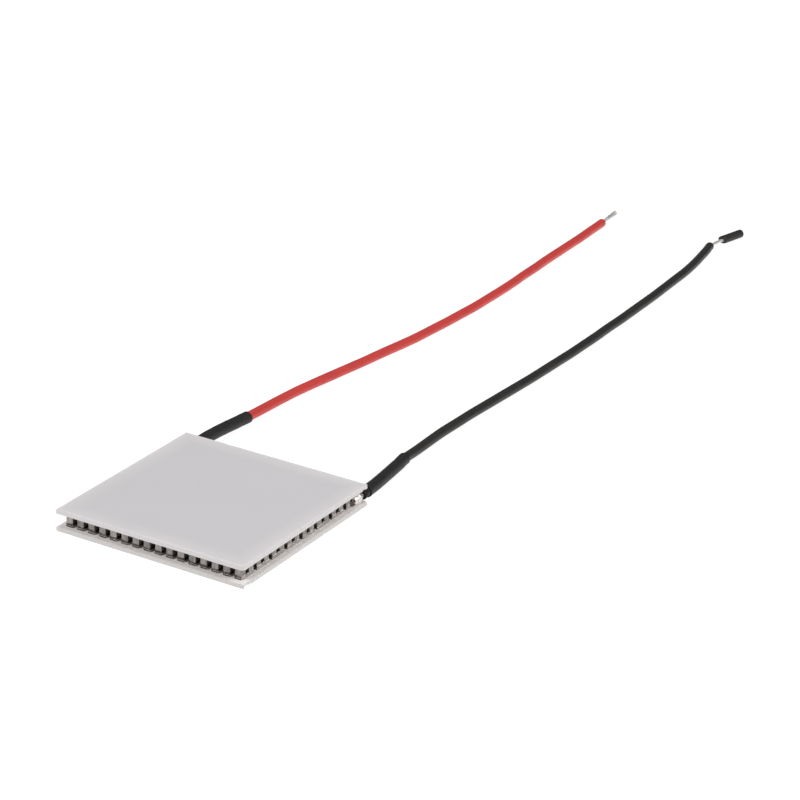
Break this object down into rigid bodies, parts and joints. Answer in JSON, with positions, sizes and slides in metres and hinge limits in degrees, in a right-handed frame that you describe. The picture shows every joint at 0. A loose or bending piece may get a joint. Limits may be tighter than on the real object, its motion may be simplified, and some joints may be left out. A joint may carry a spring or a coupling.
{
  "type": "thermoelectric cooling module",
  "caption": "Square thermoelectric cooling module: two ceramic plates with rows of semiconductor legs between them, and a red and a black sleeved lead from one edge.",
  "frame": {"origin": "bottom centre of the module, on the outer face of the hot plate, leads not counted", "axes": "+Z through the thickness, from the hot face to the cold face; +Y towards the edge that the two leads leave; +X towards the black lead"},
  "size_m": [0.03, 0.1526, 0.0032],
  "materials": {
    "cold_ceramic": "matt alumina, lightly lapped",
    "hot_ceramic": "matt alumina, lightly lapped",
    "tab_copper": "tinned copper, satin",
    "bismuth_telluride": "sawn crystalline semiconductor, dull grey",
    "solder": "bright reflowed solder",
    "tinned_strand": "tinned copper strands",
    "red_insulation": "semi-gloss soft PVC",
    "black_insulation": "semi-gloss soft PVC",
    "sleeve": "satin flexible tubing"
  },
  "bodies": {
    "root": {"hot_plate": "hot_ceramic", "cold_plate": "cold_ceramic", "hot_bus_tabs": "tab_copper", "cold_bus_tabs": "tab_copper", "positive_terminal_tab": "tab_copper", "negative_terminal_tab": "tab_copper", "p_type_legs": "bismuth_telluride", "n_type_legs": "bismuth_telluride", "hot_solder_joints": "solder", "cold_solder_joints": "solder", "positive_lead_solder": "solder", "negative_lead_solder": "solder", "red_lead_conductor": "tinned_strand", "red_lead_insulation": "red_insulation", "red_lead_sleeve": "sleeve", "black_lead_conductor": "tinned_strand", "black_lead_insulation": "black_insulation", "black_lead_sleeve": "sleeve", "black_lead_insulation_slug": "black_insulation"}
  },
  "joints": []
}
